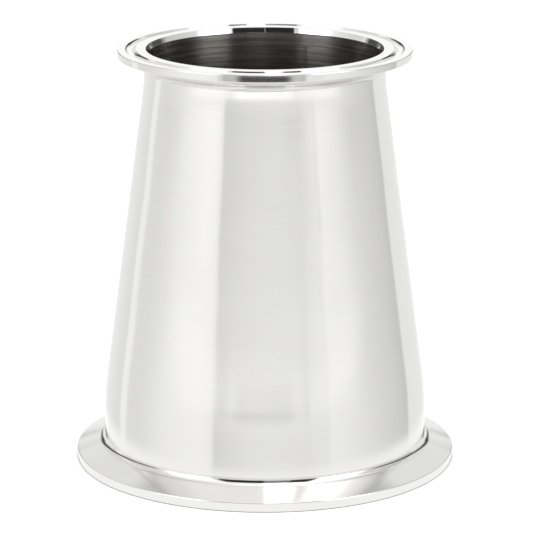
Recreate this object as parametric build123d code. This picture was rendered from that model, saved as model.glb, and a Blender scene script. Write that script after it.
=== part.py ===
from build123d import *
from math import atan2, cos, degrees, radians, sin, tan
import os

# Hygienic clamp reducer, 4 in to 3 in tube, standing on its large end.
# Z is the flow axis, the sealing face of the large end is z = 0, all sizes in millimetres.

# ---- overall ----
height = 130.0                # sealing face to sealing face
wall = 1.4                    # polished sheet, and the ferrules' tube wall

# ---- large end ----
large_flange_radius = 59.45   # 4 in clamp ferrule, 118.9 across
large_tube_radius = 50.6      # outside of the tube wall
large_rim = 2.9               # height of the flange's cylindrical rim
large_groove_radius = 55.15   # middle of the gasket groove
large_fillet = 2.4            # weld fillet between body and flange back

# ---- small end ----
small_flange_radius = 45.45   # 3 in clamp ferrule, 90.9 across
small_tube_radius = 37.3
small_rim = 2.35
small_groove_radius = 41.3
small_fillet = 1.8

# ---- both clamp flanges ----
bevel_angle = 20.0            # slope of the flange back, from the sealing face
weld_slant = 0.8              # how much nearer the sealing face a weld lies inside than outside
corner_round = 0.3            # broken corners of the rim
groove_width = 3.2
groove_depth = 1.2
mouth_depth = 1.7             # tapered lead-in at the bore's mouth
mouth_flare = 0.7             # how much wider the mouth is than the bore

# ---- cone ----
cone_low_corner = 19.3        # height where the large tube wall meets the cone's slope
cone_high_corner = 119.7      # height where the slope meets the small tube wall
low_bend_radius = 150.0       # outside surface, rolled bend at the large end
high_bend_radius = 50.0       # outside surface, rolled bend at the small end

# ---- seam of the rolled sheet ----
seam_width = 1.6
seam_angle = 69.0             # around Z, from +X towards +Y

large_bore = large_tube_radius - wall
small_bore = small_tube_radius - wall
slope = tan(radians(bevel_angle))


def at(radius, z):
    """A point of a section, in the plane that is turned about Z."""
    return Vector(radius, 0, z)


def turned(*edges):
    """The ring that a closed section makes when it is turned about Z."""
    return revolve(make_face(Wire(edges)), Axis.Z, 360)


def corner(before, point, after, radius):
    """The arc of a radius that rounds a corner, tangent to both its sides."""
    back = (before - point).normalized()
    ahead = (after - point).normalized()
    half = radians(back.get_angle(ahead)) / 2
    reach = radius / tan(half)
    middle = (back + ahead).normalized() * (radius / sin(half) - radius)
    return ThreePointArc(point + back * reach, point + middle, point + ahead * reach)


def chained(*pieces):
    """The pieces in order, with a straight line wherever two of them don't touch."""
    edges = []
    for piece, following in zip(pieces, pieces[1:] + pieces[:1]):
        if not isinstance(piece, Vector):
            edges.append(piece)
        start = piece if isinstance(piece, Vector) else piece @ 1
        end = following if isinstance(following, Vector) else following @ 0
        if (end - start).length > 1e-6:
            edges.append(Line(start, end))
    return edges


def flange_depth(flange_radius, tube_radius, rim):
    """Height from the sealing face to where the flange back meets the tube wall."""
    return rim + (flange_radius - tube_radius) * slope


def ferrule(flange_radius, tube_radius, rim, groove_radius):
    """A clamp ferrule with its sealing face at z = 0 and its back upwards."""
    bore = tube_radius - wall
    depth = flange_depth(flange_radius, tube_radius, rim)
    rim_bottom, rim_top = at(flange_radius, 0), at(flange_radius, rim)
    back_root = at(tube_radius, depth)
    bore_top = at(bore, depth - weld_slant)
    throat = at(bore, mouth_depth)
    mouth = at(bore + mouth_flare, 0)
    groove = ThreePointArc(
        at(groove_radius - groove_width / 2, 0),
        at(groove_radius, groove_depth),
        at(groove_radius + groove_width / 2, 0),
    )
    return turned(*chained(
        mouth,
        groove,
        corner(groove @ 1, rim_bottom, rim_top, corner_round),
        corner(rim_bottom, rim_top, back_root, corner_round),
        back_root,
        bore_top,
        throat,
    ))


def girth_weld(flange_radius, tube_radius, rim, fillet):
    """The weld ring behind a ferrule, dressed to a fillet that runs onto the flange back."""
    bore = tube_radius - wall
    root = at(tube_radius, flange_depth(flange_radius, tube_radius, rim))
    up_wall = at(tube_radius, root.Z + 10)
    down_back = at(flange_radius, rim)
    dressed = corner(down_back, root, up_wall, fillet)
    return turned(*chained(
        dressed,
        at(bore, (dressed @ 1).Z - weld_slant),
        at(bore, root.Z - weld_slant),
        root,
    ))


def weld_top(flange_radius, tube_radius, rim, fillet):
    """Height above the sealing face where the weld ring ends on the outside of the tube wall."""
    half = radians(90 + bevel_angle) / 2
    return flange_depth(flange_radius, tube_radius, rim) + fillet / tan(half)


def flipped(shape):
    """A part built up from z = 0, turned over to hang down from the top sealing face."""
    return Pos(0, 0, height) * Rot(180, 0, 0) * shape


def reducer_shell():
    """The rolled cone with its short straight ends, as one closed ring."""
    bottom = weld_top(large_flange_radius, large_tube_radius, large_rim, large_fillet)
    top = height - weld_top(small_flange_radius, small_tube_radius, small_rim, small_fillet)
    narrowing = large_tube_radius - small_tube_radius
    cone_angle = atan2(narrowing, cone_high_corner - cone_low_corner)
    print("cone half angle", round(degrees(cone_angle), 2))
    inner_shift = wall * tan(cone_angle / 2)   # keeps the sheet's thickness along the slope

    outer_low = at(large_tube_radius, cone_low_corner)
    outer_high = at(small_tube_radius, cone_high_corner)
    inner_low = at(large_bore, cone_low_corner - inner_shift)
    inner_high = at(small_bore, cone_high_corner - inner_shift)
    outer_foot, outer_head = at(large_tube_radius, bottom), at(small_tube_radius, top)
    inner_foot = at(large_bore, bottom - weld_slant)
    inner_head = at(small_bore, top + weld_slant)
    return turned(*chained(
        outer_foot,
        corner(outer_foot, outer_low, outer_high, low_bend_radius),
        corner(outer_low, outer_high, outer_head, high_bend_radius),
        outer_head,
        inner_head,
        corner(inner_head, inner_high, inner_low, high_bend_radius + wall),
        corner(inner_high, inner_low, inner_foot, low_bend_radius - wall),
        inner_foot,
    ))


def seam_slab():
    """A slab through one side of the wall, as wide as the sheet's seam weld."""
    reach = 2 * large_tube_radius
    slab = Pos(reach / 2, 0, height / 2) * Box(reach, seam_width, 2 * height)
    return Rot(0, 0, seam_angle) * slab


shell = reducer_shell()
large_end = (large_flange_radius, large_tube_radius, large_rim)
small_end = (small_flange_radius, small_tube_radius, small_rim)
nodes = {
    "large_end_ferrule": ferrule(*large_end, large_groove_radius),
    "large_end_girth_weld": girth_weld(*large_end, large_fillet),
    "reducer_cone": shell - seam_slab(),
    "cone_seam_weld": shell & seam_slab(),
    "small_end_girth_weld": flipped(girth_weld(*small_end, small_fillet)),
    "small_end_ferrule": flipped(ferrule(*small_end, small_groove_radius)),
}

os.makedirs("parts", exist_ok=True)
for name, solid in nodes.items():
    solid.label = name
    export_step(solid, f"parts/{name}.step")
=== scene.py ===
from math import radians

import bpy
import numpy as np
from bpy.props import FloatProperty, FloatVectorProperty, IntProperty, PointerProperty
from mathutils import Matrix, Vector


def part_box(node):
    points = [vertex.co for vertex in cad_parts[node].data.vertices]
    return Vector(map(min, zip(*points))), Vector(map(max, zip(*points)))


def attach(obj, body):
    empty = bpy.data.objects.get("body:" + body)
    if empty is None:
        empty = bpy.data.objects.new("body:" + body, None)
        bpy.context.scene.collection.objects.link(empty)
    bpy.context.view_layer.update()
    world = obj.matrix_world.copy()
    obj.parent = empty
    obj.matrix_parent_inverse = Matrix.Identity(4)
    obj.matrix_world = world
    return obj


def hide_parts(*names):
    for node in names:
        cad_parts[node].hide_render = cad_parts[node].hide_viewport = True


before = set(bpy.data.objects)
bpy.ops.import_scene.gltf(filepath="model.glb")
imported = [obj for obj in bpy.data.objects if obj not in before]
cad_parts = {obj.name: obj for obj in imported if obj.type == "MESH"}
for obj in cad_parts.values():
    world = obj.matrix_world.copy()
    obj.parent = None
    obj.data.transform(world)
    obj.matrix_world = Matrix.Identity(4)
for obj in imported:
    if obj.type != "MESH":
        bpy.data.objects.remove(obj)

bl_info = {
    "name": "Hygienic clamp reducer",
    "version": (1, 0, 0),
    "blender": (4, 5, 0),
    "location": "View3D > Sidebar > Reducer",
    "description": "Builds a polished conical pipe reducer with clamp ferrules, and a small studio",
    "category": "Add Mesh",
}

MM = 0.001
BODY = "root"
SHARP_EDGE = radians(28)      # edges that turn by more than this stay sharp
QUARTER_TURN = 0.25           # turns a shader's stretched highlights across the grain

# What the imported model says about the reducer, in metres.
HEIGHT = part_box("small_end_ferrule")[1].z
LARGE_FLANGE_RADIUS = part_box("large_end_ferrule")[1].x
SMALL_FLANGE_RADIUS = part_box("small_end_ferrule")[1].x
LARGE_TUBE_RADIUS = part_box("reducer_cone")[1].x


# ---------------------------------------------------------------- properties

def length(name, description, default):
    """A distance in metres."""
    return FloatProperty(
        name=name,
        description=description,
        default=default,
        min=0.0,
        precision=5,
        subtype="DISTANCE",
        unit="LENGTH",
    )


def angle(name, description, degrees_value):
    """An angle, given in degrees."""
    return FloatProperty(
        name=name,
        description=description,
        default=radians(degrees_value),
        subtype="ANGLE",
        unit="ROTATION",
    )


def share(name, description, default):
    """A number from 0 to 1."""
    return FloatProperty(
        name=name,
        description=description,
        default=default,
        min=0.0,
        max=1.0,
        subtype="FACTOR",
    )


def number(name, description, default):
    """A plain number that isn't negative."""
    return FloatProperty(name=name, description=description, default=default, min=0.0)


def colour(name, description, default):
    """A colour as linear red, green and blue."""
    return FloatVectorProperty(
        name=name,
        description=description,
        default=default,
        min=0.0,
        max=1.0,
        size=3,
        subtype="COLOR",
    )


class ReducerSizes(bpy.types.PropertyGroup):
    """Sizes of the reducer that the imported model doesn't give directly."""

    wall: length("Wall", "Thickness of the sheet and of the ferrules' tube wall", 1.4 * MM)
    small_tube_radius: length("Small tube radius", "Outside of the wall, small end", 37.3 * MM)
    large_rim: length("Large rim", "Height of the large flange's cylindrical rim", 2.9 * MM)
    small_rim: length("Small rim", "Height of the small flange's cylindrical rim", 2.35 * MM)
    large_groove_radius: length("Large groove radius", "Middle of the large groove", 55.15 * MM)
    small_groove_radius: length("Small groove radius", "Middle of the small groove", 41.3 * MM)
    groove_width: length("Groove width", "Width of a gasket groove across its mouth", 3.2 * MM)
    groove_depth: length("Groove depth", "Depth of a gasket groove at its middle", 1.2 * MM)
    corner_round: length("Corner round", "Radius on the rim's corners", 0.3 * MM)
    edge_round: length("Edge round", "Radius left by polishing on the finer edges", 0.12 * MM)
    mouth_depth: length("Mouth depth", "Depth of the taper at each bore's mouth", 1.7 * MM)
    mouth_flare: length("Mouth flare", "How much wider the mouth is than the bore", 0.7 * MM)
    large_fillet: length("Large weld fillet", "Radius of the weld at the large flange", 2.4 * MM)
    small_fillet: length("Small weld fillet", "Radius of the weld at the small flange", 1.8 * MM)
    weld_slant: length("Weld slant", "How much nearer the face a weld lies inside", 0.8 * MM)
    low_corner: length("Low corner", "Height where the large wall meets the slope", 19.3 * MM)
    high_corner: length("High corner", "Height where the slope meets the small wall", 119.7 * MM)
    low_bend: length("Low bend", "Radius of the bend at the large end, outside", 150.0 * MM)
    high_bend: length("High bend", "Radius of the bend at the small end, outside", 50.0 * MM)
    seam_width: length("Seam width", "Width of the lengthwise weld", 1.6 * MM)
    bead_crown: length("Bead crown", "How far the weld beads stand proud of the bore", 0.012 * MM)
    bead_ripple: length("Bead ripple", "Height of the ripples along a weld bead", 0.004 * MM)
    bead_pitch: length("Bead pitch", "Distance between a weld bead's ripples", 1.1 * MM)
    waviness: length("Waviness", "How far hand polishing leaves the sheet off true", 0.028 * MM)
    rim_draft: angle("Rim draft", "Slope of the rims, which are widest at the sealing face", 2.3)
    bevel_angle: angle("Bevel angle", "Slope of the flange backs from the sealing face", 20.0)
    seam_angle: angle("Seam angle", "Place of the lengthwise weld, from +X towards +Y", 69.0)
    steps_around: IntProperty(
        name="Steps around",
        description="Faces around the axis in every turned surface",
        default=360,
        min=48,
        max=720,
    )


class ReducerFinish(bpy.types.PropertyGroup):
    """Colours and polish of the steel."""

    steel: colour("Steel", "Polished stainless steel", (0.821, 0.8165, 0.812))
    weld_steel: colour("Weld steel", "Dressed weld metal, a little darker", (0.79, 0.786, 0.776))
    # The inside's colour is much darker than the outside steel: painted shade of the deep bore,
    # which light reaches only through its ends.
    bore_steel: colour("Bore steel", "Brushed steel of the inside", (0.54, 0.54, 0.538))
    # Darker than the bore's colour: the weld's own darker tone over the bore's painted shade.
    bore_weld_steel: colour("Bore weld steel", "The long weld on the inside", (0.38, 0.38, 0.378))
    sheet_roughness: share("Sheet roughness", "Roughness of the polished cone", 0.125)
    sheet_grain: share("Sheet grain", "How much more the cone spreads light along the axis", 0.75)
    ferrule_roughness: share("Ferrule roughness", "Roughness of the turned ferrules", 0.06)
    ferrule_grain: share("Ferrule grain", "How much more ferrules spread light across rings", 0.5)
    bore_roughness: share("Bore roughness", "Roughness of the inside", 0.2)
    bore_grain: share("Bore grain", "How much more the inside spreads light along the axis", 0.98)


class StudioSettings(bpy.types.PropertyGroup):
    """The floor, the light tent and the camera."""

    floor_colour: colour("Floor colour", "Pale sheet under the reducer", (0.93, 0.93, 0.93))
    backdrop_colour: colour("Backdrop colour", "Surroundings past the floor", (1.0, 1.0, 1.0))
    tent_radius: length("Tent radius", "Radius of the domed light tent", 2.4)
    tent_strength: number("Tent strength", "Multiplies the brightness of the panels", 1.0)
    ceiling: number("Ceiling", "Brightness of the tent's top", 1.5)
    softbox_gain: number("Softbox gain", "Extra brightness high up beside the camera", 2.3)
    side_shade: share("Side shade", "How dark the tent is at both sides, above the floor", 0.9)
    flank_shade: share("Flank shade", "How dark the low patches behind the fitting are", 0.85)
    floor_gain: number("Floor gain", "Extra brightness of the tent as it lights the floor", 1.4)
    floor_band: number("Floor band", "Brightness of the floor's far band, seen in the steel", 1.24)
    camera_distance: length("Camera distance", "From the axis, along the floor", 888.1 * MM)
    camera_height: length("Camera height", "Above the floor", 290.4 * MM)
    camera_tilt: angle("Camera tilt", "Below the horizontal", 14.51)
    focal_length: FloatProperty(
        name="Focal length",
        description="Of the camera's lens, for a sensor 36 mm wide",
        default=198.03,
        min=1.0,
        unit="CAMERA",
    )
    lens_shift: number("Lens shift", "Moves the picture sideways, as a share of its width", 0.003)


# ---------------------------------------------------------------- sections

def straight(start, end, steps):
    """Points along a straight line from start to end, both included."""
    share_along = np.linspace(0.0, 1.0, steps)[:, None]
    return np.asarray(start) + share_along * (np.asarray(end) - np.asarray(start))


def rounded(before, point, after, radius, steps=8):
    """Points of the arc that rounds a corner.

    The arc touches both sides at radius / tan(half the corner's angle) from the corner. Its
    centre is on the corner's bisector at radius / sin(half), and the points turn about that
    centre from one touching point to the other.
    """
    before, point, after = (np.asarray(value, float) for value in (before, point, after))
    back = (before - point) / np.linalg.norm(before - point)
    ahead = (after - point) / np.linalg.norm(after - point)
    half = np.arccos(np.clip(back @ ahead, -1.0, 1.0)) / 2
    centre = point + (back + ahead) / np.linalg.norm(back + ahead) * radius / np.sin(half)
    start = point + back * radius / np.tan(half) - centre
    end = point + ahead * radius / np.tan(half) - centre
    sweep = np.pi - 2 * half
    turn = np.linspace(0.0, 1.0, steps)[:, None] * sweep
    return centre + (start * np.sin(sweep - turn) + end * np.sin(turn)) / np.sin(sweep)


def through(start, middle, end, steps):
    """Points of the circular arc from start to end that is deepest at middle, half way along.

    With c the half chord and h the depth, the radius is (c squared + h squared) / 2h, and the
    points turn evenly about the centre.
    """
    start, middle, end = (np.asarray(value, float) for value in (start, middle, end))
    chord_middle = (start + end) / 2
    depth = np.linalg.norm(middle - chord_middle)
    half_chord = np.linalg.norm(end - start) / 2
    radius = (half_chord ** 2 + depth ** 2) / (2 * depth)
    inwards = (middle - chord_middle) / depth
    along = (end - start) / (2 * half_chord)
    centre = middle - inwards * radius
    reach = np.arcsin(min(1.0, half_chord / radius))
    turn = np.linspace(-reach, reach, steps)[:, None]
    return centre + radius * (np.cos(turn) * inwards + np.sin(turn) * along)


def supported(section, gap=0.03 * MM):
    """The section with two more points on each long straight run, a small gap in from its ends.

    They keep the smoothed shading of a flat face flat right up to the rounded edge beside it.
    Each point is followed by itself plus the gap along the run, and by the next point less the gap.
    """
    run = np.roll(section, -1, axis=0) - section
    reach = np.linalg.norm(run, axis=1)
    step = run * gap / np.maximum(reach, gap)[:, None]
    points = np.stack([section, section + step, section + run - step], axis=1)
    kept = np.ones(points.shape[:2], bool)
    kept[:, 1:] = (reach > 8 * gap)[:, None]
    return points[kept]


def flange_depth(sizes, flange_radius, tube_radius, rim):
    """Height from the sealing face to where the flange back meets the tube wall."""
    return rim + (flange_radius - tube_radius) * np.tan(sizes.bevel_angle)


def fillet_reach(sizes, fillet):
    """How far a weld fillet reaches up the tube wall and down the flange back."""
    return fillet / np.tan((np.pi / 2 + sizes.bevel_angle) / 2)


def ferrule_section(sizes, flange_radius, tube_radius, rim, groove_radius):
    """A ferrule's closed section as (radius, height) pairs, with its sealing face at height 0."""
    bore = tube_radius - sizes.wall
    depth = flange_depth(sizes, flange_radius, tube_radius, rim)
    fine = sizes.edge_round
    mouth = (bore + sizes.mouth_flare, 0.0)
    throat = (bore, sizes.mouth_depth)
    groove_in = (groove_radius - sizes.groove_width / 2, 0.0)
    groove_out = (groove_radius + sizes.groove_width / 2, 0.0)
    groove = through(groove_in, (groove_radius, sizes.groove_depth), groove_out, 25)
    rim_low = (flange_radius, 0.0)
    rim_high = (flange_radius - rim * np.tan(sizes.rim_draft), rim)
    root = (tube_radius, depth)
    bore_top = (bore, depth - sizes.weld_slant)
    return supported(np.vstack([
        rounded(throat, mouth, groove_in, fine, 6),
        rounded(mouth, groove_in, groove[1], fine, 6),
        groove[3:-3],
        rounded(groove[-2], groove_out, rim_low, fine, 6),
        rounded(groove_out, rim_low, rim_high, sizes.corner_round, 10),
        rounded(rim_low, rim_high, root, sizes.corner_round, 10),
        [root],
        [bore_top],
        rounded(bore_top, throat, mouth, 3 * fine, 6),
    ]))


def girth_weld_section(sizes, flange_radius, tube_radius, rim, fillet):
    """A weld ring's closed section, with height 0 at the sealing face.

    It has a dressed fillet outside and a crowned bead inside. The crown is a parabola, highest in
    the middle of the bead.
    """
    bore = tube_radius - sizes.wall
    root = np.array([tube_radius, flange_depth(sizes, flange_radius, tube_radius, rim)])
    dressed = rounded((flange_radius, rim), root, (tube_radius, 1.0), fillet, 16)
    top = (bore, dressed[-1][1] - sizes.weld_slant)
    bottom = (bore, root[1] - sizes.weld_slant)
    bead = straight(top, bottom, 13)
    across = np.linspace(-1.0, 1.0, len(bead))
    bead[:, 0] -= sizes.bead_crown * (1 - across ** 2)
    return np.vstack([dressed, bead, [root]])


def sheet_line(corners, low_bend, high_bend, steps):
    """One face of the rolled sheet from foot to head: straight, bent, straight, bent, straight."""
    foot, low, high, head = corners
    lower = rounded(foot, low, high, low_bend, steps)
    upper = rounded(low, high, head, high_bend, steps)
    slope = straight(lower[-1], upper[0], steps)
    return np.vstack([[foot], lower, slope[1:-1], upper, [head]])


def cone_section(sizes, steps=28):
    """The rolled sheet's closed section: outside line upwards, then inside line downwards.

    The inside line lies one wall thickness in from the outside line, so its corners are lower by
    the thickness times the tangent of half the cone's angle. Both lines have as many points.
    """
    wall = sizes.wall
    large, small = LARGE_TUBE_RADIUS, sizes.small_tube_radius
    cone_angle = np.arctan2(large - small, sizes.high_corner - sizes.low_corner)
    shift = wall * np.tan(cone_angle / 2)
    foot = flange_depth(sizes, LARGE_FLANGE_RADIUS, large, sizes.large_rim)
    foot += fillet_reach(sizes, sizes.large_fillet)
    head = HEIGHT - flange_depth(sizes, SMALL_FLANGE_RADIUS, small, sizes.small_rim)
    head -= fillet_reach(sizes, sizes.small_fillet)
    outside = [
        (large, foot),
        (large, sizes.low_corner),
        (small, sizes.high_corner),
        (small, head),
    ]
    inside = [
        (large - wall, foot - sizes.weld_slant),
        (large - wall, sizes.low_corner - shift),
        (small - wall, sizes.high_corner - shift),
        (small - wall, head + sizes.weld_slant),
    ]
    outer = sheet_line(outside, sizes.low_bend, sizes.high_bend, steps)
    inner = sheet_line(inside, sizes.low_bend - wall, sizes.high_bend + wall, steps)
    return np.vstack([outer, inner[::-1]])


# ---------------------------------------------------------------- surfaces

def ring_grid(section, angles):
    """Points of a section turned about the vertical axis: x = r cos a, y = r sin a, z = height.

    section is an array of (radius, height) of one closed line. angles has one row for each place
    around the axis, and one column for each section point or a single column for all of them.
    """
    radius = np.broadcast_to(section[:, 0], (angles.shape[0], len(section)))
    height = np.broadcast_to(section[:, 1], radius.shape)
    return np.stack([radius * np.cos(angles), radius * np.sin(angles), height], axis=-1)


def grid_faces(rows, columns, closed_rows):
    """Quads between neighbouring grid points. Columns close up, and rows do if closed_rows."""
    last = rows if closed_rows else rows - 1
    here = np.arange(last)[:, None] * columns
    there = (np.arange(last)[:, None] + 1) % rows * columns
    near = np.arange(columns)[None, :]
    far = (near + 1) % columns
    return np.stack([here + near, there + near, there + far, here + far], axis=-1).reshape(-1, 4)


def end_faces(rows, columns):
    """Quads that close both ends of an open turned grid, between facing points of the section."""
    near = np.arange(columns // 2 - 1)
    cap = np.stack([near, near + 1, columns - 2 - near, columns - 1 - near], axis=-1)
    return np.vstack([cap, cap[:, ::-1] + (rows - 1) * columns])


def enclosed_volume(points, faces):
    """Signed volume inside quads: the sum over triangles of a . (b x c) / 6."""
    corners = points[faces]
    first = np.einsum("ij,ij->i", corners[:, 0], np.cross(corners[:, 1], corners[:, 2]))
    second = np.einsum("ij,ij->i", corners[:, 0], np.cross(corners[:, 2], corners[:, 3]))
    return (first.sum() + second.sum()) / 6


def add_piece(name, grid, closed, materials, bore_line):
    """A mesh object from a grid of points, with its faces outwards and its fine edges smooth.

    bore_line gives, for a height, the radius inside which a face belongs to the brushed bore and
    takes the second of the two materials.
    """
    rows, columns = grid.shape[:2]
    points = grid.reshape(-1, 3)
    faces = grid_faces(rows, columns, closed)
    if not closed:
        faces = np.vstack([faces, end_faces(rows, columns)])
    if enclosed_volume(points, faces) < 0:
        faces = faces[:, ::-1]
    mesh = bpy.data.meshes.new(name)
    mesh.from_pydata(points, [], faces)
    if mesh.validate():
        raise RuntimeError(f"{name} has faces that Blender had to mend")
    for material in materials:
        mesh.materials.append(material)
    centres = points[faces].mean(axis=1)
    inside = np.hypot(centres[:, 0], centres[:, 1]) < bore_line(centres[:, 2])
    mesh.polygons.foreach_set("material_index", inside.astype(np.int32))
    mesh.shade_smooth()
    mesh.set_sharp_from_angle(angle=SHARP_EDGE)
    mesh.update()
    piece = bpy.data.objects.new(name, mesh)
    bpy.context.scene.collection.objects.link(piece)
    return piece


def around(steps):
    """Evenly spaced angles for one full turn, as a single column."""
    return (np.arange(steps) * 2 * np.pi / steps)[:, None]


def pushed(grid, angles, distance):
    """The grid's points moved straight out from the axis, each by its distance."""
    moved = grid.copy()
    moved[..., 0] += distance * np.cos(angles)
    moved[..., 1] += distance * np.sin(angles)
    return moved


def stand_in(piece, node):
    """The piece rides on the fitting and stands for its CAD node, which is hidden."""
    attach(piece, BODY)
    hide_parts(node)


# Each polishing wave's height as a share of the waviness, how many times it goes up and down
# around the axis and along it, and where it starts, in radians.
POLISHING_WAVES = (
    (1.0, 5, 1.3, 0.4),
    (0.8, 9, -2.2, 1.9),
    (0.5, 14, 3.1, 4.2),
    (0.6, 3, 5.3, 2.7),
)
INSIDE_WAVES = 0.15           # how high the waves are inside, as a share of those outside


def polishing_waves(sizes, angle_around, height):
    """How far the hand-polished sheet is off true, at each angle and height.

    A sum of sine waves that run slantwise around the sheet. It fades to nothing at the sheet's
    two ends as the sine of the share of the way between them.
    """
    along = (height - height.min()) / np.ptp(height)
    fade = np.sin(np.pi * np.clip(along, 0.0, 1.0))
    turns = along * 2 * np.pi
    waves = sum(
        high * np.sin(times_around * angle_around + times_along * turns + start)
        for high, times_around, times_along, start in POLISHING_WAVES
    )
    return sizes.waviness * fade * waves


def waved(sizes, section, angles):
    """The turned sheet with its polishing waves, which are fainter on the inside."""
    waves = polishing_waves(sizes, angles, section[:, 1])
    waves[:, len(section) // 2:] *= INSIDE_WAVES
    return pushed(ring_grid(section, angles), angles, waves)


# ---------------------------------------------------------------- materials

class Recipe:
    """A material under construction, with its Principled shader and its Object coordinates."""

    def __init__(self, name, steel, roughness, grain):
        self.material = bpy.data.materials.new(name)
        self.material.use_nodes = True
        self.tree = self.material.node_tree
        self.shader = self.tree.nodes["Principled BSDF"]
        self.shader.inputs["Metallic"].default_value = 1.0
        self.shader.inputs["Roughness"].default_value = roughness
        self.shader.inputs["Base Color"].default_value = (*steel, 1.0)
        self.shader.inputs["Anisotropic"].default_value = grain
        self.shader.inputs["Anisotropic Rotation"].default_value = QUARTER_TURN
        self.place = self.add("ShaderNodeTexCoord").outputs["Object"]
        around_axis = self.add("ShaderNodeVectorMath", operation="CROSS_PRODUCT")
        around_axis.inputs[0].default_value = (0.0, 0.0, 1.0)
        self.wire(self.place, around_axis.inputs[1])
        along_grain = self.add("ShaderNodeVectorMath", operation="NORMALIZE")
        self.wire(around_axis.outputs["Vector"], along_grain.inputs[0])
        self.wire(along_grain.outputs["Vector"], self.shader.inputs["Tangent"])

    def add(self, kind, **settings):
        """A new node, with its settings."""
        node = self.tree.nodes.new(kind)
        for key, value in settings.items():
            setattr(node, key, value)
        return node

    def wire(self, source, target):
        self.tree.links.new(source, target)

    def stretched_noise(self, stretch, detail=3.0):
        """Noise on Object coordinates, squeezed by a factor along each axis."""
        mapping = self.add("ShaderNodeMapping")
        mapping.inputs["Scale"].default_value = stretch
        noise = self.add("ShaderNodeTexNoise")
        noise.inputs["Scale"].default_value = 1.0
        noise.inputs["Detail"].default_value = detail
        self.wire(self.place, mapping.inputs["Vector"])
        self.wire(mapping.outputs["Vector"], noise.inputs["Vector"])
        return noise.outputs["Fac"]

    def turned_noise(self, fineness, detail=2.0):
        """Noise that is the same all the way round: it reads only the radius and the height."""
        split = self.add("ShaderNodeSeparateXYZ")
        self.wire(self.place, split.inputs["Vector"])
        flat = self.add("ShaderNodeCombineXYZ")
        self.wire(split.outputs["X"], flat.inputs["X"])
        self.wire(split.outputs["Y"], flat.inputs["Y"])
        radius = self.add("ShaderNodeVectorMath", operation="LENGTH")
        self.wire(flat.outputs["Vector"], radius.inputs[0])
        ring = self.add("ShaderNodeCombineXYZ")
        self.wire(radius.outputs["Value"], ring.inputs["X"])
        self.wire(split.outputs["Z"], ring.inputs["Z"])
        noise = self.add("ShaderNodeTexNoise")
        noise.inputs["Scale"].default_value = fineness
        noise.inputs["Detail"].default_value = detail
        self.wire(ring.outputs["Vector"], noise.inputs["Vector"])
        return noise.outputs["Fac"]

    def ranged(self, value, low, high, start=0.3, stop=0.7):
        """The value carried from start..stop to low..high, and held at both ends."""
        span = self.add("ShaderNodeMapRange")
        span.inputs["From Min"].default_value = start
        span.inputs["From Max"].default_value = stop
        span.inputs["To Min"].default_value = low
        span.inputs["To Max"].default_value = high
        self.wire(value, span.inputs["Value"])
        return span.outputs["Result"]

    def product(self, first, second):
        """One value times the other."""
        node = self.add("ShaderNodeMath", operation="MULTIPLY")
        self.wire(first, node.inputs[0])
        self.wire(second, node.inputs[1])
        return node.outputs["Value"]

    def tinted(self, value, steel, depth):
        """Base colour from a darker, warmer steel where value is 0 to the steel where it is 1.

        The darker steel loses depth times a factor of each colour part, and more blue than red.
        """
        mix = self.add("ShaderNodeMix", data_type="RGBA")
        losses = (0.9, 1.0, 1.15)
        darker = tuple(part * (1 - depth * loss) for part, loss in zip(steel, losses))
        mix.inputs["A"].default_value = (*darker, 1.0)
        mix.inputs["B"].default_value = (*steel, 1.0)
        self.wire(value, mix.inputs["Factor"])
        self.wire(mix.outputs["Result"], self.shader.inputs["Base Color"])

    def roughen(self, value):
        self.wire(value, self.shader.inputs["Roughness"])

    def bump(self, layers):
        """Chained bumps. Each layer is (height value, depth in metres)."""
        normal = None
        for height, depth in layers:
            node = self.add("ShaderNodeBump")
            node.inputs["Strength"].default_value = 1.0
            node.inputs["Distance"].default_value = depth
            self.wire(height, node.inputs["Height"])
            if normal is not None:
                self.wire(normal, node.inputs["Normal"])
            normal = node.outputs["Normal"]
        self.wire(normal, self.shader.inputs["Normal"])


def polished_sheet(finish):
    """Buffed sheet: fine scratches around the axis in patches, and faint clouds in the polish."""
    steel = finish.steel
    recipe = Recipe("polished_sheet", steel, finish.sheet_roughness, finish.sheet_grain)
    clouds = recipe.stretched_noise((22, 22, 14))
    scratches = recipe.stretched_noise((40, 40, 5200), detail=2.0)
    patches = recipe.stretched_noise((30, 30, 45), detail=2.0)
    shown = recipe.product(
        recipe.ranged(scratches, 0.0, 1.0, 0.42, 0.72),
        recipe.ranged(patches, 0.25, 1.0, 0.4, 0.65),
    )
    streaks = recipe.stretched_noise((26, 26, 1500), detail=4.0)
    cloudy = recipe.product(
        recipe.ranged(clouds, 0.6, 1.0),
        recipe.ranged(streaks, 0.5, 1.0, 0.35, 0.65),
    )
    recipe.tinted(cloudy, steel, 0.028)
    low, high = finish.sheet_roughness * 0.85, finish.sheet_roughness * 1.35
    recipe.roughen(recipe.ranged(shown, low, high, 0.0, 1.0))
    recipe.bump([(shown, 0.0009 * MM)])
    return recipe.material


def turned_ferrule(finish):
    """Turned and buffed: hair-fine rings around the axis on every face."""
    steel = finish.steel
    recipe = Recipe("turned_ferrule", steel, finish.ferrule_roughness, finish.ferrule_grain)
    rings = recipe.turned_noise(6500)
    wide_rings = recipe.turned_noise(1400)
    clouds = recipe.stretched_noise((60, 60, 60))
    recipe.tinted(recipe.ranged(clouds, 0.4, 1.0), steel, 0.04)
    low, high = finish.ferrule_roughness * 0.7, finish.ferrule_roughness * 1.6
    recipe.roughen(recipe.ranged(wide_rings, low, high))
    recipe.bump([(rings, 0.0006 * MM), (wide_rings, 0.0012 * MM)])
    return recipe.material


def brushed_bore(finish):
    """The inside of the fitting, in a darker steel colour that holds the painted shade of the deep
    bore.
    """
    return brushed_inside("brushed_bore", finish, finish.bore_steel)


def brushed_bore_weld(finish):
    """The lengthwise weld on the inside, brushed with the bore: it has the bore's painted shade,
    and is darker again as weld metal.
    """
    return brushed_inside("brushed_bore_weld", finish, finish.bore_weld_steel)


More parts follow.
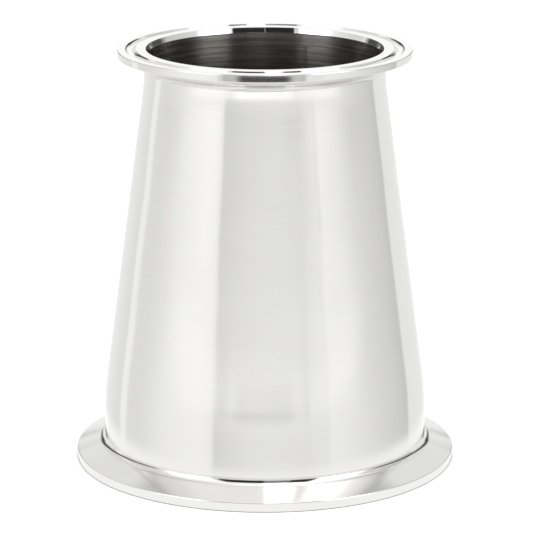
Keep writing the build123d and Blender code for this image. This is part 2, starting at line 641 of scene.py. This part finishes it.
def brushed_inside(name, finish, steel):
    """Steel brushed around the axis: strong fine lines that spread light up and down."""
    # The steel colour passed in holds the painted shade of the deep bore.
    recipe = Recipe(name, steel, finish.bore_roughness, finish.bore_grain)
    lines = recipe.stretched_noise((25, 25, 9000), detail=3.0)
    bands = recipe.stretched_noise((45, 45, 1700), detail=3.0)
    recipe.tinted(recipe.ranged(bands, 0.0, 1.0, 0.35, 0.65), steel, 0.42)
    low, high = finish.bore_roughness * 0.88, finish.bore_roughness * 1.12
    recipe.roughen(recipe.ranged(lines, low, high))
    recipe.bump([(lines, 0.0024 * MM), (bands, 0.004 * MM)])
    return recipe.material


def dressed_weld(finish):
    """Weld metal ground and buffed back: soft dimples under fine scratches."""
    steel = finish.weld_steel
    recipe = Recipe("dressed_weld", steel, finish.sheet_roughness, finish.sheet_grain)
    dimples = recipe.stretched_noise((700, 700, 700), detail=3.0)
    scratches = recipe.stretched_noise((60, 60, 4200), detail=2.0)
    recipe.tinted(recipe.ranged(dimples, 0.2, 1.0), steel, 0.08)
    low, high = finish.sheet_roughness * 0.6, finish.sheet_roughness * 1.2
    recipe.roughen(recipe.ranged(scratches, low, high))
    recipe.bump([(dimples, 0.006 * MM), (scratches, 0.0008 * MM)])
    return recipe.material


def steels():
    """The fitting's materials by use, each made the first time it is asked for."""
    makers = {
        "sheet": polished_sheet,
        "ferrule": turned_ferrule,
        "bore": brushed_bore,
        "bore_weld": brushed_bore_weld,
        "weld": dressed_weld,
    }
    finish = bpy.context.scene.reducer_finish
    known = bpy.data.materials
    return {use: known.get(make.__name__) or make(finish) for use, make in makers.items()}


# ---------------------------------------------------------------- the fitting

def large_end(sizes):
    """The large flange's radius, its tube's radius and the height of its rim."""
    return LARGE_FLANGE_RADIUS, LARGE_TUBE_RADIUS, sizes.large_rim


def small_end(sizes):
    """The same three sizes of the small end."""
    return SMALL_FLANGE_RADIUS, sizes.small_tube_radius, sizes.small_rim


def hung(section):
    """A section built up from height 0, turned over to hang from the top sealing face."""
    flipped = section.copy()
    flipped[:, 1] = HEIGHT - section[:, 1]
    return flipped


class REDUCER_OT_add_ferrules(bpy.types.Operator):
    """Add the two turned clamp ferrules, one at each end."""

    bl_idname = "reducer.add_ferrules"
    bl_label = "Add ferrules"

    def execute(self, context):
        sizes = context.scene.reducer_sizes
        steel = steels()
        ends = {
            "large_end_ferrule": (large_end(sizes), sizes.large_groove_radius, False),
            "small_end_ferrule": (small_end(sizes), sizes.small_groove_radius, True),
        }
        for name, (end, groove_radius, hangs) in ends.items():
            section = ferrule_section(sizes, *end, groove_radius)
            if hangs:
                section = hung(section)
            bore = end[1] - sizes.wall
            edge = bore + 0.3 * sizes.edge_round
            grid = ring_grid(section, around(sizes.steps_around))
            piece = add_piece(
                name + "_turned", grid, True, (steel["ferrule"], steel["bore"]),
                bore_line=lambda height: np.full_like(height, edge),
            )
            stand_in(piece, name)
        return {"FINISHED"}


class REDUCER_OT_add_girth_welds(bpy.types.Operator):
    """Add the weld rings that join the cone to its ferrules."""

    bl_idname = "reducer.add_girth_welds"
    bl_label = "Add girth welds"

    def execute(self, context):
        sizes = context.scene.reducer_sizes
        steel = steels()
        ends = {
            "large_end_girth_weld": (large_end(sizes), sizes.large_fillet, False),
            "small_end_girth_weld": (small_end(sizes), sizes.small_fillet, True),
        }
        for name, (end, fillet, hangs) in ends.items():
            section = girth_weld_section(sizes, *end, fillet)
            if hangs:
                section = hung(section)
            bore = end[1] - sizes.wall
            angles = around(2 * sizes.steps_around)
            ripples = self.ripples(sizes, angles, section, bore)
            grid = pushed(ring_grid(section, angles), angles, ripples)
            edge = bore + 0.05 * sizes.wall
            piece = add_piece(
                name + "_dressed", grid, True, (steel["weld"], steel["bore"]),
                bore_line=lambda height: np.full_like(height, edge),
            )
            stand_in(piece, name)
        return {"FINISHED"}

    @staticmethod
    def ripples(sizes, angles, section, bore):
        """Ripples along the inner bead: a sine wave around the axis that follows the crown."""
        proud = np.clip((bore - section[:, 0]) / sizes.bead_crown, 0.0, 1.0)
        count = round(2 * np.pi * bore / sizes.bead_pitch)
        return -sizes.bead_ripple * proud * (1 + np.sin(count * angles))


class REDUCER_OT_add_cone(bpy.types.Operator):
    """Add the rolled and polished sheet cone, open along its seam."""

    bl_idname = "reducer.add_cone"
    bl_label = "Add cone"

    def execute(self, context):
        sizes = context.scene.reducer_sizes
        steel = steels()
        section = cone_section(sizes)
        half_seam = np.arcsin(sizes.seam_width / 2 / section[:, 0])
        along = np.linspace(0.0, 1.0, sizes.steps_around + 1)[:, None]
        angles = sizes.seam_angle + half_seam + along * (2 * np.pi - 2 * half_seam)
        grid = waved(sizes, section, angles)
        steps = len(section) // 2
        outer_height = section[:steps, 1]
        middle_radius = (section[:steps, 0] + section[:steps - 1:-1, 0]) / 2
        piece = add_piece(
            "reducer_cone_rolled", grid, False, (steel["sheet"], steel["bore"]),
            bore_line=lambda height: np.interp(height, outer_height, middle_radius),
        )
        stand_in(piece, "reducer_cone")
        return {"FINISHED"}


class REDUCER_OT_add_seam_weld(bpy.types.Operator):
    """Add the lengthwise weld that closes the rolled cone."""

    bl_idname = "reducer.add_seam_weld"
    bl_label = "Add seam weld"

    def execute(self, context):
        sizes = context.scene.reducer_sizes
        steel = steels()
        section = self.denser(cone_section(sizes), sizes.bead_pitch / 4)
        half_seam = np.arcsin(sizes.seam_width / 2 / section[:, 0])
        across = np.linspace(-1.0, 1.0, 13)[:, None]
        angles = sizes.seam_angle + across * half_seam
        grid = pushed(waved(sizes, section, angles), angles, self.bead(sizes, section, across))
        steps = len(section) // 2
        middle = (section[:steps] + section[:steps - 1:-1]) / 2
        piece = add_piece(
            "cone_seam_weld_bead", grid, False, (steel["weld"], steel["bore_weld"]),
            bore_line=lambda height: np.interp(height, middle[:, 1], middle[:, 0]),
        )
        stand_in(piece, "cone_seam_weld")
        return {"FINISHED"}

    @staticmethod
    def denser(section, spacing):
        """The section with its outside and inside lines resampled evenly by height."""
        half = len(section) // 2
        outer, inner = section[:half], section[:half - 1:-1]
        count = int((outer[-1, 1] - outer[0, 1]) / spacing)
        lines = []
        for line in (outer, inner):
            height = np.linspace(line[0, 1], line[-1, 1], count)
            lines.append(np.stack([np.interp(height, line[:, 1], line[:, 0]), height], axis=-1))
        return np.vstack([lines[0], lines[1][::-1]])

    @staticmethod
    def bead(sizes, section, across):
        """Rise of the bead, inwards on the bore side only: a parabola across it, with ripples.

        Each ripple is bowed like a chevron, as a weld pool leaves it, and all fade out at the ends.
        """
        half = len(section) // 2
        inner = np.arange(len(section)) >= half
        height = section[:, 1]
        along = (height - height.min()) / np.ptp(height)
        fade = np.clip(20 * np.minimum(along, 1 - along), 0.0, 1.0)
        crown = (1 - across ** 2) * fade
        bowed = height + 0.35 * sizes.bead_pitch * across ** 2
        ripple = sizes.bead_ripple * np.sin(2 * np.pi * bowed / sizes.bead_pitch)
        return -crown * (sizes.bead_crown + ripple) * inner


# ---------------------------------------------------------------- the studio

STUDIO_TURN = np.radians(np.linspace(-180, 180, 721))[:, None]   # a half degree to each step
PANELS_END = (41, 48)         # degrees up, where the side panels give way to the roof panels
ROOF_ENDS = (74, 84)          # degrees up, where the roof panels give way to the ceiling
CARD_RADIUS = 1.2             # from the axis to the dark cards

# Brightness of the tent's side panels against the angle around the axis, in degrees from the
# camera's side, positive to its right: panel edges, the gaps between panels and their fall-off.
TENT_PANELS = (
    (-180, 0.96), (-168, 0.96), (-158, 0.92), (-148, 0.92), (-132, 0.88), (-127, 0.89),
    (-125.5, 1.04), (-119, 1.04), (-115, 0.87), (-100, 0.88), (-90, 0.93), (-78, 1.0), (-66, 1.03),
    (-50, 1.06), (-41, 1.04), (-37.4, 0.98), (-35.9, 0.81), (-28, 0.85), (-12, 0.92), (0, 0.94),
    (16, 0.93), (31, 0.90), (33, 0.93), (43, 0.95), (44.5, 0.93), (46, 0.94), (47.5, 1.01),
    (56, 0.99), (66, 0.96), (76, 0.91), (86, 0.86), (96, 0.81), (106, 0.77), (116, 0.72),
    (121, 0.68), (123.5, 0.68), (125, 0.94), (144, 0.93), (160, 0.92), (168, 0.96), (180, 0.96),
)

# The same for the sloping roof panels, which the backs of the flanges show.
ROOF_PANELS = (
    (-180, 0.80), (-164, 0.62), (-148, 0.60), (-124, 0.68), (-108, 0.95), (-88, 1.03), (-70, 1.15),
    (-52, 1.2), (-10, 1.22), (-2, 1.25), (0, 1.85), (30, 1.85), (32, 1.2), (38, 1.2), (46, 1.75),
    (72, 1.75), (88, 1.3), (105, 1.05), (124, 0.68), (150, 0.56), (164, 0.58), (180, 0.80),
)


def smooth_step(value, start, stop):
    """0 before start, 1 after stop, and 3 t squared - 2 t cubed of the share t between them."""
    share_along = np.clip((value - start) / (stop - start), 0.0, 1.0)
    return share_along ** 2 * (3 - 2 * share_along)


def between(value, rise, fall):
    """A smooth step up over the rise, times a smooth step down over the fall."""
    return smooth_step(value, *rise) * (1 - smooth_step(value, *fall))


def panel_brightness(panels, azimuth):
    """Brightness of a row of panels at an angle, by straight lines between the table's values."""
    degrees_around, values = np.array(panels).T
    return np.interp(np.degrees(azimuth), degrees_around, values)


def tent_brightness(studio, azimuth, elevation):
    """Brightness of the light tent in a direction.

    The side panels, the roof panels and the ceiling lie above one another, and each blends into
    the next as a smooth step in the elevation. These then change it, each by smooth steps in both
    angles:
    contrast: the side panels' own, away from the front, is stronger above the floor
    behind: brighter where the sealing faces throw the camera's line of sight
    beside: much brighter high up on both sides of the camera, and more so on its right
    sides: dark above the floor to the left and right of the fitting, which the bore shows
    flank: dark patches low down on either side of the back
    """
    height = np.degrees(elevation)
    turned = np.abs(np.degrees(azimuth))
    glow = panel_brightness(TENT_PANELS, azimuth)
    contrast = np.clip(0.6 * (glow - 0.97), -0.07, 0.1) * smooth_step(turned, 30, 40)
    glow = glow * (1 + contrast * smooth_step(height, 0.0, 2.2))
    roof = panel_brightness(ROOF_PANELS, azimuth)
    glow = glow + (roof - glow) * smooth_step(height, *PANELS_END)
    glow = glow + (studio.ceiling - glow) * smooth_step(height, *ROOF_ENDS)
    behind = smooth_step(turned, 164, 170) * smooth_step(height, 9.6, 11.2)
    beside = between(turned, (36, 44), (62, 78)) * np.where(azimuth > 0, 1.3, 0.95)
    beside = beside * between(height, (11, 17), PANELS_END)
    glow = glow * (1 + 0.14 * behind) * (1 + studio.softbox_gain * beside)
    sides = between(turned, (74, 86), (156, 164)) * between(height, (5, 8), (15, 18))
    glow = glow * (1 - studio.side_shade * sides)
    flank = between(turned, (146, 152), (162, 168)) * (1 - smooth_step(height, 7, 10))
    return glow * (1 - studio.flank_shade * flank)


def floor_brightness(studio, azimuth, radius):
    """Brightness of the floor as polished steel sees it, by ray angle and distance from the axis.

    The side panels' own brightness lies over the floor. These change it, each by smooth steps in
    the distance and in the angle:
    band: a bright band in front
    far: a little darker beyond the band
    gap: a dark gap before the band, darkest in its middle
    near: a little brighter before the gap
    foot: an even brightness against the fitting
    Under the fitting it is dark, a painted shade of the floor that the fitting covers.
    """
    turned_away = np.abs(np.degrees(azimuth) + 0.5)
    glow = panel_brightness(TENT_PANELS, azimuth)
    band = between(radius, (0.56, 0.59), (0.90, 1.05)) * (1 - smooth_step(turned_away, 60, 85))
    level = studio.floor_band + 0.3 * (1 - smooth_step(turned_away, 20, 32))
    glow = glow + (level - glow) * band
    far = smooth_step(radius, 1.05, 1.2) * (1 - smooth_step(turned_away, 30, 38))
    glow = glow * (1 - 0.06 * far)
    middle = 0.63 * (1 - smooth_step(turned_away, 16, 25))
    whole = 0.33 * (1 - smooth_step(turned_away, 31, 34))
    gap = between(radius, (0.40, 0.42), (0.55, 0.57)) * (middle + whole)
    glow = glow * (1 - gap)
    near = between(radius, (0.15, 0.24), (0.36, 0.42)) * (1 - smooth_step(turned_away, 30, 40))
    glow = glow * (1 + 0.07 * near)
    foot = 1.0 - smooth_step(radius, 0.07, 0.09)
    glow = glow + (1.08 - glow) * foot
    # Painted shade: the floor under the fitting, seen through the bore, is dark.
    return glow * (0.08 + 0.92 * smooth_step(radius, 0.0592, 0.0605))


def sheet_mesh(name, grid):
    """An open sheet from a grid of points."""
    rows, columns = grid.shape[:2]
    index = np.arange(rows * columns).reshape(rows, columns)
    faces = np.stack(
        [index[:-1, :-1], index[1:, :-1], index[1:, 1:], index[:-1, 1:]], axis=-1
    ).reshape(-1, 4)
    mesh = bpy.data.meshes.new(name)
    mesh.from_pydata(grid.reshape(-1, 3), [], faces)
    mesh.shade_smooth()
    return mesh


def add_stage(name, grid, material, seen=False):
    """A sheet of the stage, which isn't part of the fitting. The camera sees it only if seen."""
    mesh = sheet_mesh(name, grid)
    mesh.materials.append(material)
    obj = bpy.data.objects.new(name, mesh)
    bpy.context.scene.collection.objects.link(obj)
    obj.visible_camera = seen
    return obj


def around_camera(azimuth, radius, height):
    """Points on a circle about the axis, at an angle from the camera's side, which is -Y."""
    return np.stack([radius * np.sin(azimuth), -radius * np.cos(azimuth), height], axis=-1)


def glowing_material(name, strength, diffuse_gain=1.0):
    """Light that glows with each point's stored value, and diffuse_gain times that to the floor."""
    material = bpy.data.materials.new(name)
    material.use_nodes = True
    tree = material.node_tree
    tree.nodes.clear()
    value = tree.nodes.new("ShaderNodeAttribute")
    value.attribute_name = "glow"
    path = tree.nodes.new("ShaderNodeLightPath")
    gain = tree.nodes.new("ShaderNodeMath")
    gain.operation = "MULTIPLY_ADD"
    gain.inputs[1].default_value = strength * (diffuse_gain - 1)
    gain.inputs[2].default_value = strength
    power = tree.nodes.new("ShaderNodeMath")
    power.operation = "MULTIPLY"
    light = tree.nodes.new("ShaderNodeEmission")
    output = tree.nodes.new("ShaderNodeOutputMaterial")
    tree.links.new(path.outputs["Is Diffuse Ray"], gain.inputs[0])
    tree.links.new(value.outputs["Fac"], power.inputs[0])
    tree.links.new(gain.outputs["Value"], power.inputs[1])
    tree.links.new(power.outputs["Value"], light.inputs["Strength"])
    tree.links.new(light.outputs["Emission"], output.inputs["Surface"])
    return material


def add_glow(sheet, values):
    """Stores the values at the sheet's points, for its glowing material."""
    glow = sheet.data.attributes.new("glow", "FLOAT", "POINT")
    glow.data.foreach_set("value", values.ravel())


def add_tent(studio):
    """The domed light tent: a half sphere whose glow is stored at its points."""
    elevation = np.radians(np.linspace(0, 90, 61))[None, :]
    level = studio.tent_radius * np.cos(elevation)
    height = np.broadcast_to(studio.tent_radius * np.sin(elevation), (len(STUDIO_TURN), 61))
    material = glowing_material("tent_light", studio.tent_strength, studio.floor_gain)
    tent = add_stage("light_tent", around_camera(STUDIO_TURN, level, height), material)
    add_glow(tent, tent_brightness(studio, STUDIO_TURN, elevation))


def add_floor_sheen(studio):
    """A painted reflection of the floor for the polished steel: flat glowing sheets, not lamps,
    whose glow is stored at their points.

    The front sheet is drawn along rays. A ray at angle a leaves the foot of the fitting at angle
    a / 2 and runs in the direction a, as the camera's line of sight does when the steel throws it
    back. So the sheet's streaks meet the fitting in straight lines. The other sheet lies within
    and behind the fitting. Both lie a hair below the floor, which the steel doesn't see.
    """
    run = np.hstack([[0.0], np.geomspace(0.002, 2 * studio.tent_radius, 260)])[None, :]
    level = np.full((len(STUDIO_TURN), run.size), -0.2 * MM)
    start = around_camera(STUDIO_TURN / 2, np.full_like(level, LARGE_TUBE_RADIUS), level)
    run = np.broadcast_to(run, level.shape)
    front = start + around_camera(STUDIO_TURN, run, np.zeros_like(level))
    front_radius = np.hypot(front[..., 0], front[..., 1])

    behind_radius = np.geomspace(0.004, studio.tent_radius, 161)[None, :]
    level = np.full((len(STUDIO_TURN), behind_radius.size), -0.4 * MM)
    behind = around_camera(STUDIO_TURN, behind_radius, level)

    material = glowing_material("floor_sheen", studio.tent_strength)
    sheets = (
        ("floor_sheen", front, front_radius),
        ("floor_sheen_behind", behind, behind_radius),
    )
    for name, grid, radius in sheets:
        sheen = add_stage(name, grid, material)
        add_glow(sheen, floor_brightness(studio, STUDIO_TURN, radius))
        sheen.visible_diffuse = False
        sheen.visible_shadow = False


def plain_material(name, shade):
    """A dull, even surface."""
    material = bpy.data.materials.new(name)
    material.use_nodes = True
    shader = material.node_tree.nodes["Principled BSDF"]
    shader.inputs["Base Color"].default_value = (*shade, 1.0)
    shader.inputs["Roughness"].default_value = 0.9
    shader.inputs["Specular IOR Level"].default_value = 0.0
    return material


def curved_card(azimuths, heights):
    """A card bent about the axis, between two angles from the camera's side and two heights."""
    azimuth = np.radians(np.linspace(*azimuths, 25))[:, None]
    height = np.broadcast_to(np.linspace(*heights, 3)[None, :], (25, 3))
    return around_camera(azimuth, np.full_like(height, CARD_RADIUS), height)


def add_dark_cards():
    """Dark cards above the camera that put the dark accents into the bore's lip and the groove."""
    black = plain_material("card_black", (0.02, 0.02, 0.02))
    grey = plain_material("card_grey", (0.3, 0.3, 0.3))
    cards = (
        ("high_card_left", (-32.5, -0.2), (0.27, 1.33), black),
        ("high_card_right", (0.05, 36), (0.74, 1.15), black),
        ("high_card_low", (18, 36), (0.27, 0.74), black),
        ("high_card_grey", (0.05, 18), (0.27, 0.74), grey),
        ("high_card_top", (18, 36), (1.15, 1.33), black),
    )
    for name, azimuths, heights, material in cards:
        add_stage(name, curved_card(azimuths, heights), material)


class REDUCER_OT_add_studio(bpy.types.Operator):
    """Add the pale floor, the light tent, the dark cards and the camera."""

    bl_idname = "reducer.add_studio"
    bl_label = "Add studio"

    def execute(self, context):
        scene = context.scene
        studio = scene.reducer_studio
        reach = studio.tent_radius
        corner = np.linspace(-reach, reach, 3)
        flat = np.stack([*np.meshgrid(corner, corner, indexing="ij"), np.zeros((3, 3))], axis=-1)
        paper = plain_material("floor_paper", studio.floor_colour)
        floor = add_stage("floor", flat, paper, seen=True)
        floor.visible_glossy = False
        add_floor_sheen(studio)
        add_tent(studio)
        add_dark_cards()

        world = bpy.data.worlds.new("studio_surround")
        world.use_nodes = True
        backdrop = world.node_tree.nodes["Background"]
        backdrop.inputs["Color"].default_value = (*studio.backdrop_colour, 1.0)
        scene.world = world

        lens = bpy.data.cameras.new("camera")
        lens.lens = studio.focal_length
        lens.shift_x = studio.lens_shift
        camera = bpy.data.objects.new("camera", lens)
        camera.location = (0.0, -studio.camera_distance, studio.camera_height)
        camera.rotation_euler = (np.pi / 2 - studio.camera_tilt, 0.0, 0.0)
        scene.collection.objects.link(camera)
        scene.camera = camera
        scene.view_settings.view_transform = "Standard"
        return {"FINISHED"}


# ---------------------------------------------------------------- panel and start

OPERATORS = (
    REDUCER_OT_add_ferrules,
    REDUCER_OT_add_girth_welds,
    REDUCER_OT_add_cone,
    REDUCER_OT_add_seam_weld,
    REDUCER_OT_add_studio,
)


SETTINGS = {
    "reducer_sizes": ReducerSizes,
    "reducer_finish": ReducerFinish,
    "reducer_studio": StudioSettings,
}


class REDUCER_PT_panel(bpy.types.Panel):
    """The sizes, finish and studio settings, and a button for each operator."""

    bl_label = "Clamp reducer"
    bl_idname = "REDUCER_PT_panel"
    bl_space_type = "VIEW_3D"
    bl_region_type = "UI"
    bl_category = "Reducer"

    def draw(self, context):
        for group in SETTINGS:
            box = self.layout.box()
            settings = getattr(context.scene, group)
            for name in settings.__annotations__:
                box.prop(settings, name)
        for operator in OPERATORS:
            self.layout.operator(operator.bl_idname)


CLASSES = (*SETTINGS.values(), *OPERATORS, REDUCER_PT_panel)


def register():
    for item in CLASSES:
        bpy.utils.register_class(item)
    for name, group in SETTINGS.items():
        setattr(bpy.types.Scene, name, PointerProperty(type=group))


def unregister():
    for name in SETTINGS:
        delattr(bpy.types.Scene, name)
    for item in reversed(CLASSES):
        bpy.utils.unregister_class(item)


def main():
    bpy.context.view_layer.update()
    register()
    for operator in OPERATORS:
        group, name = operator.bl_idname.split(".")
        getattr(getattr(bpy.ops, group), name)()


if __name__ == "__main__":
    main()
